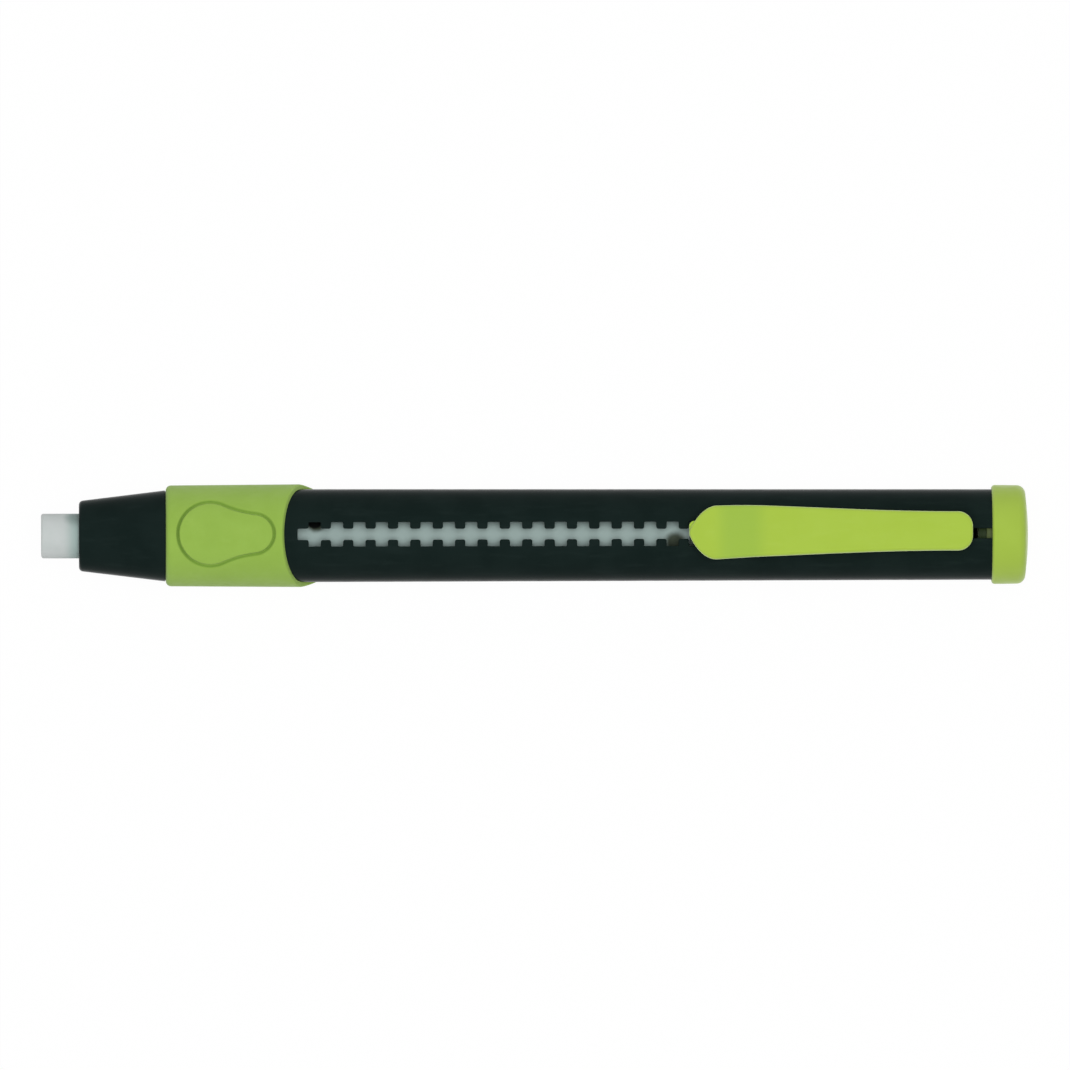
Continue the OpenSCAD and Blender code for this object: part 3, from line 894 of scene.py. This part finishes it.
def step_x(radius, angle):
    """Where the barrel's slanted step lies, close behind the sleeve's rear edge."""
    return slant_x(radius, angle) + STEP_GAP


def outer_row(angles, share):
    """Points at the same share of the way from the slanted step to the rear end."""
    row = []
    for a in angles:
        first = step_x(BARREL_FRONT_R, a)
        x = first + (BARREL_END - first) * share
        row.append(at(x, barrel_r(x), a))
    return row


def barrel_front(shell):
    """The front end, the core under the sleeve and the step."""
    core_r = GRIP_FRONT_R - GRIP_WALL - RUN_GAP
    circle = np.concatenate([ACROSS, AROUND[1:-1]])
    shell.add_grid([[at(NOSE_LEN, BORE_R, a) for a in circle],
                    [at(NOSE_LEN, core_r, a) for a in circle],
                    [at(step_x(core_r, a), core_r, a) for a in circle],
                    outer_row(circle, 0)], wrap=True)


def barrel_surface(shell):
    """The surface beside the slot's strip, and in front of it."""
    first = step_x(BARREL_FRONT_R, STRIP_ANGLE)
    approach = [first + (STRIP_START - first) * k / 3 for k in range(3)]
    shares = [(x - first) / (BARREL_END - first) for x in approach + list(STATIONS)]
    shell.add_grid([outer_row(AROUND, share) for share in shares])
    rows = []
    for k in range(4):
        row = []
        for a in ACROSS:
            begin = step_x(BARREL_FRONT_R, a)
            x = begin + (STRIP_START - begin) * k / 3
            row.append(at(x, barrel_r(x), a))
        rows.append(row)
    shell.add_grid(rows)


def barrel_bore(shell):
    """The bore beside the slot's strip, and in front of it."""
    ahead = [NOSE_LEN + (STRIP_START - NOSE_LEN) * k / 3 for k in range(4)]
    shell.add_grid([[at(x, BORE_R, a) for a in AROUND] for x in ahead[:-1] + list(STATIONS)])
    shell.add_grid([[at(x, BORE_R, a) for a in ACROSS] for x in ahead])


def slot_strip(shell, radius_at, gap):
    """The strip round the slot at one radius, and its angles at the rear end from slot to side."""
    flat_r = BARREL_FRONT_R
    slot = [(x, math.asin(y / radius_at(x))) for x, y in slot_outline(gap)]
    rear = np.linspace(slot[-1][1], STRIP_ANGLE, 4)
    outline = slot + [(BARREL_END, a) for a in rear[1:]]
    outline += [(x, STRIP_ANGLE) for x in STATIONS[-2::-1]]
    outline += [(STRIP_START, a) for a in ACROSS[-2::-1]]
    outline += [(x, -STRIP_ANGLE) for x in STATIONS[1:]]
    outline += [(BARREL_END, -a) for a in rear[-2:0:-1]]
    points, faces = filled([(x, a * flat_r) for x, a in outline], STRIP_FILL)
    shell.add([at(x, radius_at(x), v / flat_r) for x, v in points], faces)
    return rear


def slot_walls(shell, steps=4):
    """The slot's rounded edge and its wall, as rows of points from the surface to the bore."""
    walls = []
    for k in range(steps + 1):
        turn = math.radians(90 * k / steps)
        gap = SLOT_EDGE_ROUND * (1 - math.sin(turn))
        depth = SLOT_EDGE_ROUND * (1 - math.cos(turn))
        walls.append([(x, y, math.sqrt((barrel_r(x) - depth) ** 2 - y * y))
                      for x, y in slot_outline(gap)])
    walls.append([(x, y, math.sqrt(BORE_R ** 2 - y * y)) for x, y in slot_outline(0)])
    shell.add_grid(walls)
    return walls


def end_arc(radius, rear):
    """The rear end's edge at a radius, from one side of the slot round to the other."""
    angles = list(rear) + list(AROUND[1:-1]) + [2 * math.pi - a for a in rear[::-1]]
    return [(radius * math.sin(a), radius * math.cos(a)) for a in angles]


def barrel_end(shell, outer_rear, inner_rear, walls):
    """The rear end's flat face, which the slot cuts open."""
    outline = end_arc(barrel_r(BARREL_END), outer_rear)
    outline += [wall[0][1:] for wall in walls[1:-1]]
    outline += end_arc(BORE_R, inner_rear)[::-1]
    outline += [wall[-1][1:] for wall in walls[-2:0:-1]]
    points, faces = filled(outline)
    shell.add([(BARREL_END, y, z) for y, z in points], faces)


def barrel():
    """The tube with its notched slot, whose edges are rounded, and its slanted step under the grip."""
    shell = Shell()
    barrel_front(shell)
    barrel_surface(shell)
    barrel_bore(shell)
    outer_rear = slot_strip(shell, barrel_r, SLOT_EDGE_ROUND)
    inner_rear = slot_strip(shell, lambda x: BORE_R, 0)
    walls = slot_walls(shell)
    barrel_end(shell, outer_rear, inner_rear, walls)
    return stand_for(solid("barrel_tube", shell.points, shell.faces), "barrel", BLACK)


# Clip, latch tongue and end cap

def clip_side_half(t):
    """Half the arm's width without its rounded tip."""
    along = min(t / (CLIP_LEN - CLIP_CORNER_R), 1) ** 0.92
    return CLIP_NARROW / 2 + (CLIP_WIDE - CLIP_NARROW) / 2 * (1 + math.cos(math.pi * along)) / 2


def clip_half(t):
    """Half the clip's width at a distance from its tip: a rounded tip, then an even narrowing."""
    bow = math.sqrt(1 - (1 - min(t / CLIP_TIP_LEN, 1)) ** 2)
    blunt = ((bow ** 2 + TIP_EASE ** 2) / (1 + TIP_EASE ** 2)) ** (CLIP_BLUNTNESS - 0.5)
    return clip_side_half(t) * bow * blunt


def clip_top(t):
    """Height of the arm's top: flat at its rear, dipping forwards, curled up at its tip."""
    down = min(max((CLIP_FLAT_FROM - t) / (CLIP_FLAT_FROM - CLIP_TIP_LEN), 0), 1)
    up = max(1 - t / CLIP_TIP_LEN, 0)
    return CLIP_TOP - CLIP_DIP * (1 - math.cos(math.pi * down)) / 2 + CLIP_CURL * up * up


def clip_sway(t):
    """The arm stands a little off the centre line, as its play in the slot lets it."""
    share = min(max(t / SWAY_LEN, 0), 1)
    return CLIP_SWAY * share * share * (3 - 2 * share) * (1 - 0.3 * t / CLIP_LEN)


def clip_low(t):
    """Height of the arm's underside."""
    return clip_top(t) - CLIP_FRONT_T - (CLIP_REAR_T - CLIP_FRONT_T) * min(t / CLIP_FLAT_FROM, 1)


def clip_outline():
    """The clip seen from above, as distances from its tip and from its centre line."""
    tip = [CLIP_TIP_LEN * (1 - math.cos(math.pi / 2 * i / 26)) for i in range(1, 26)]
    arm = list(np.linspace(CLIP_TIP_LEN, CLIP_LEN - CLIP_CORNER_R, 64))
    side = [(t, clip_half(t)) for t in tip + arm]
    side += arc(CLIP_LEN - CLIP_CORNER_R, CLIP_NARROW / 2 - CLIP_CORNER_R, CLIP_CORNER_R, 82, 0, 11)
    return [(0, 0)] + side + [(CLIP_LEN, 0)] + [(t, -h) for t, h in side[::-1]]


def drawn_in(outline, inset):
    """The outline moved inwards by the same distance all round."""
    flat = np.array(outline)
    run = np.roll(flat, -1, 0) - np.roll(flat, 1, 0)
    run /= np.hypot(run[:, 0], run[:, 1])[:, None]
    return flat + inset * np.stack([run[:, 1], -run[:, 0]], 1)


def clip_plate():
    """The clip's arm: a crowned plate with rounded edges that dips and curls up at its tip."""
    outline = clip_outline()
    shell = Shell()
    rings, steps = [], 6

    def lifted(points, height, crown, rise):
        """The outline's points at a height above the axis, lower at the sides where crowned."""
        return [(CLIP_TIP + t, h + clip_sway(t),
                 height(t) - CLIP_CROWN * (h / clip_side_half(t)) ** 2 * crown + rise)
                for t, h in points]

    for k in range(steps, -1, -1):
        turn = math.radians(90 * k / steps)
        inset, drop = CLIP_TOP_ROUND * (1 - math.cos(turn)), CLIP_TOP_ROUND * (1 - math.sin(turn))
        rings.append(lifted(drawn_in(outline, inset), clip_top, 1, -drop))
    for k in range(steps + 1):
        turn = math.radians(90 * k / steps)
        inset, lift = CLIP_LOW_ROUND * (1 - math.cos(turn)), CLIP_LOW_ROUND * (1 - math.sin(turn))
        rings.append(lifted(drawn_in(outline, inset), clip_low, 0, lift))
    shell.add_grid(rings, wrap=True)
    for inset, height, crown in ((CLIP_TOP_ROUND, clip_top, 1), (CLIP_LOW_ROUND, clip_low, 0)):
        points, faces = filled(drawn_in(outline, inset), CLIP_FILL)
        shell.add(lifted(points, height, crown, 0), faces)
    return solid("clip_arm", shell.points, shell.faces)


def clip():
    """The clip with the boss under its tip, the foot that goes through the slot and its pins."""
    boss_rear = CLIP_TIP + BOSS_LEN
    foot_front, foot_rear = PIVOT_X - FOOT_LEN / 2, PIVOT_X + FOOT_LEN / 2
    foot_low = barrel_r(PIVOT_X) + PEDESTAL_GAP
    neck_half = NECK_W / 2
    pocket_half = neck_half + POCKET_GAP
    boss = upright_block("boss", rounded([
        (CLIP_TIP, -BOSS_REACH[0], 0.3), (boss_rear, -BOSS_REACH[0], 0.1),
        (boss_rear, BOSS_REACH[1], 0.1), (CLIP_TIP, BOSS_REACH[1], 0.75)]),
        BOSS_LOW, BOSS_LOW + BOSS_H + CLIP_FRONT_T / 3)
    pedestal = soft_box("pedestal", (foot_front - PEDESTAL_LEDGE, -PEDESTAL_W / 2, foot_low),
                        (foot_rear + PEDESTAL_LEDGE, PEDESTAL_W / 2, CLIP_TOP - CLIP_REAR_T / 3), 0.25)
    foot = soft_box("foot", (foot_front, -neck_half, PIVOT_Z - 0.2),
                    (foot_rear, neck_half, foot_low + 0.6), 0.15)
    pins = cross_pin("pins", PIVOT_X, PIVOT_Z, PIVOT_R, PIN_REACH, 0.15)
    pocket = soft_box("pocket", (NECK_X - POCKET_GAP, -pocket_half, BOSS_LOW - 1),
                      (BAR_REAR + POCKET_GAP, pocket_half, TONGUE_TIP_Z + RUN_GAP), 0.05)
    made = combined(clip_plate(), [("UNION", boss), ("UNION", pedestal), ("UNION", foot),
                                   ("UNION", pins), ("DIFFERENCE", pocket)])
    return stand_for(made, "clip", LIME)


def latch_tongue():
    """The springy strip with its locking bar, its neck and the peg at its root."""
    low = TONGUE_TOP - TONGUE_T
    half = TONGUE_W / 2
    section = rounded([(-half, low, TONGUE_ROUND), (half, low, TONGUE_ROUND),
                       (half, TONGUE_TOP, TONGUE_ROUND), (-half, TONGUE_TOP, TONGUE_ROUND)], 3)
    shell = Shell()
    places = np.linspace(TONGUE_FRONT, TONGUE_REAR, 46)
    shell.add_grid([[(x, y, z) for y, z in section] for x in places], wrap=True)
    points, faces = filled(section)
    for x in (TONGUE_FRONT, TONGUE_REAR):
        shell.add([(x, y, z) for y, z in points], faces)
    strip = solid("latch_strip", shell.points, shell.faces)
    bar = soft_box("bar", (TONGUE_FRONT, -BAR_W / 2, low), (BAR_REAR, BAR_W / 2, BAR_TOP), 0.12)
    neck = soft_box("neck", (NECK_X, -NECK_W / 2, TONGUE_TOP - 0.2),
                    (BAR_REAR, NECK_W / 2, TONGUE_TIP_Z), 0.1)
    peg = upright_pin("peg", TONGUE_REAR - ROOT_LEN / 2, PEG_LOW, TONGUE_TOP - TONGUE_T / 2, PEG_R)
    made = combined(strip, [("UNION", bar), ("UNION", neck), ("UNION", peg)])
    return stand_for(made, "latch_tongue", DARK)


def end_cap():
    """The cap: crowned end, soft shoulder, rounded rim and the stepped plug in the bore."""
    plug_r = BORE_R - RUN_GAP
    inner_r = plug_r - PLUG_STEP_IN - PLUG_WALL
    floor_x = CAP_END - CAP_WALL
    flat_r = CAP_END_R - CAP_ROUND
    crown = [(CAP_END - CAP_CROWN * (r / flat_r) ** 2, r, 0) for r in np.linspace(flat_r * 0.8, 0, 12)]
    outline = rounded([
        (CAP_PLUG_FRONT, inner_r, 0.1),
        (CAP_PLUG_FRONT, plug_r - PLUG_STEP_IN, 0.15),
        (CAP_PLUG_FRONT + PLUG_STEP, plug_r - PLUG_STEP_IN, 0.1),
        (CAP_PLUG_FRONT + PLUG_STEP, plug_r, 0.15),
        (floor_x, plug_r, 0.1),
        (floor_x, CAP_SKIRT_R, 0.1),
        (CAP_RIM, CAP_SKIRT_R, 0.06),
        (CAP_RIM, CAP_RIM_R, CAP_RIM_ROUND),
        (CAP_END - CAP_SHOULDER, CAP_END_R, CAP_ROUND),
        *crown,
        (floor_x, 0, 0),
        (floor_x, inner_r, 0)], 8)
    points, faces = turned(outline)
    return stand_for(solid("end_cap_shell", points, faces), "end_cap", LIME_CAP)


# Stage, light and camera

def seen_directly(n):
    """1 for the camera's rays and for those that gloss or glass sends on, else 0."""
    path = n.add("LightPath")
    seen = n.sum(path.outputs["Is Camera Ray"], path.outputs["Is Glossy Ray"], "MAXIMUM")
    return n.sum(seen, path.outputs["Is Transmission Ray"], "MAXIMUM")


def whitened(n, kind, share, output):
    """Mixes plain white into what the nodes give, by a share."""
    white = n.add(kind, {"Color": (1, 1, 1, 1), "Strength": 1.0})
    blend = n.add("MixShader")
    n.put(share, blend.inputs[0])
    n.put(n.shader.outputs[0], blend.inputs[1])
    n.put(white.outputs[0], blend.inputs[2])
    n.put(blend.outputs[0], n.tree.nodes[output].inputs["Surface"])


def floor():
    """A wide pale floor that shows as white where it is lit and keeps the pen's soft shadow."""
    corners = [(x * FLOOR_HALF, y * FLOOR_HALF, 0) for x, y in ((-1, -1), (1, -1), (1, 1), (-1, 1))]
    mesh = bpy.data.meshes.new("floor")
    mesh.from_pydata(corners, [], [(0, 1, 2, 3)])
    made = bpy.data.objects.new("floor", mesh)
    bpy.context.scene.collection.objects.link(made)
    material, n = new_material("floor", FLOOR_COLOUR)
    n.put(FLOOR_COLOUR, n.shader.inputs["Base Color"])
    n.put(1.0, n.shader.inputs["Roughness"])
    n.put(0.0, n.shader.inputs["Specular IOR Level"])
    whitened(n, "Emission", n.sum(seen_directly(n), FLOOR_GLOW, "MULTIPLY"), "Material Output")
    made.data.materials.append(material)


def surroundings():
    """White where the camera or gloss looks past the floor, and an even fill for the rest."""
    world = bpy.data.worlds.new("surroundings")
    n = Nodes(world, "Background")
    n.put(FILL_COLOUR, n.shader.inputs["Color"])
    n.put(FILL_STRENGTH, n.shader.inputs["Strength"])
    whitened(n, "Background", seen_directly(n), "World Output")
    bpy.context.scene.world = world


def softbox(name, spot, size, watts):
    """A square lamp that points at the pen."""
    lamp = bpy.data.lights.new(name, "AREA")
    lamp.shape = "SQUARE"
    lamp.size = size
    lamp.energy = watts
    made = bpy.data.objects.new(name, lamp)
    made.location = spot
    made.visible_glossy = False
    made.rotation_euler = (-Vector(spot)).to_track_quat("-Z", "Y").to_euler()
    bpy.context.scene.collection.objects.link(made)


def camera():
    """A long lens high above the pen, leaning a little to its eraser end and its near side."""
    lens = bpy.data.cameras.new("camera")
    lens.sensor_width = 36
    lens.lens = lens.sensor_width * CAMERA_AWAY / FRAME_WIDTH
    lens.clip_start, lens.clip_end = 0.05, 20
    made = bpy.data.objects.new("camera", lens)
    bpy.context.scene.collection.objects.link(made)
    back = Vector((*(-math.tan(math.radians(lean)) for lean in CAMERA_LEAN), 1)).normalized()
    made.location = Vector(CAMERA_TARGET) + back * CAMERA_AWAY
    right = Vector((1, 0, 0)) - back * back.x
    right.normalize()
    level = Matrix((right, back.cross(right), back)).transposed()
    roll = Matrix.Rotation(math.radians(CAMERA_ROLL), 3, back)
    made.rotation_euler = (roll @ level).to_euler()
    bpy.context.scene.camera = made


def studio():
    """The stage, its light and how colours are shown."""
    bpy.context.scene.view_settings.view_transform = "Standard"
    floor()
    surroundings()
    softbox("key", KEY_SPOT, KEY_SIZE, KEY_WATTS)


camera()
studio()

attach(eraser_stick(), BODY_OF["eraser_stick"])
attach(nose_cone(), BODY_OF["nose_cone"])
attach(grip_sleeve(), BODY_OF["grip_sleeve"])
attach(barrel(), BODY_OF["barrel"])
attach(clip(), BODY_OF["clip"])
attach(end_cap(), BODY_OF["end_cap"])

# the tongue, from its root in the holder to its bar, keeps its place in the frame without a body
tongue = latch_tongue()
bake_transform(tongue)

# the holder keeps its own shape, in a finished material
holder = frame["nodes"]["eraser_holder"]
holder.data.materials.clear()
holder.data.materials.append(DARK)
